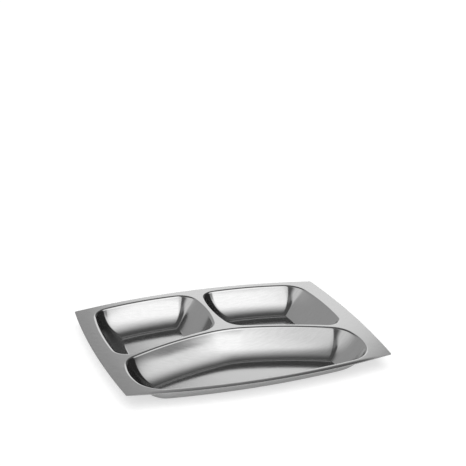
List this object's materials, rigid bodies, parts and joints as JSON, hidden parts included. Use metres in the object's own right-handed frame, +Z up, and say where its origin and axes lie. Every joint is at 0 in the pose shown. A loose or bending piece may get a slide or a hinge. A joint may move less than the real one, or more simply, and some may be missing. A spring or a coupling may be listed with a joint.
{
  "type": "divided compartment plate",
  "caption": "Shallow pressed steel plate with a flat bowed rim and separate wells for food: squarish wells at the back and a wide arched well along the front.",
  "frame": {"origin": "on the table, below the middle of the plate's overall width and depth", "axes": "+X to the right along the width, +Y to the back, from the wide front well to the pair of rear wells, +Z up"},
  "size_m": [0.28, 0.219, 0.0248],
  "materials": {
    "stainless_sheet": "satin stainless steel, softly blurred reflections with a faint fine grain"
  },
  "bodies": {
    "root": {"rim": "stainless_sheet", "divider": "stainless_sheet", "rear_left_lip": "stainless_sheet", "rear_left_wall": "stainless_sheet", "rear_left_floor": "stainless_sheet", "rear_right_lip": "stainless_sheet", "rear_right_wall": "stainless_sheet", "rear_right_floor": "stainless_sheet", "front_lip": "stainless_sheet", "front_wall": "stainless_sheet", "front_floor": "stainless_sheet"}
  },
  "joints": []
}
